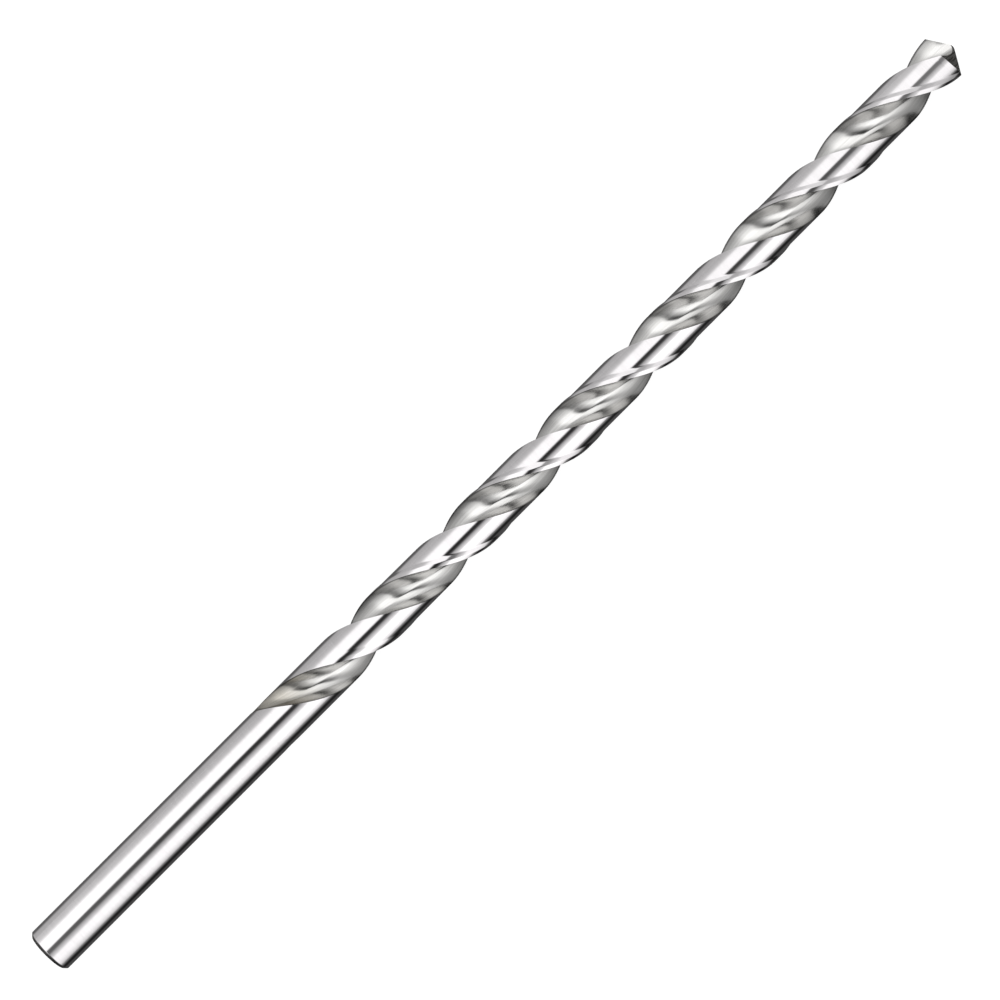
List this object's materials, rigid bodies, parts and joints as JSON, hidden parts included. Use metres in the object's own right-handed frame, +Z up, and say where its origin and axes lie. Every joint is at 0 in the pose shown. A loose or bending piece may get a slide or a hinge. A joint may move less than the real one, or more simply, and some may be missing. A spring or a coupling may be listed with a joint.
{
  "type": "twist drill bit",
  "caption": "Extra-long right-hand twist drill bit with helical flutes, a conical point with relieved lips and a plain round shank.",
  "frame": {"origin": "on the resting surface, under the middle of the drill's length and axis", "axes": "+X along the drill's axis from the shank to the point, +Z up with the drill lying on its side and its two lips level"},
  "size_m": [0.3, 0.012, 0.012],
  "materials": {
    "steel": "ground and polished bright"
  },
  "bodies": {
    "root": {"twist_drill": "steel"}
  },
  "joints": []
}
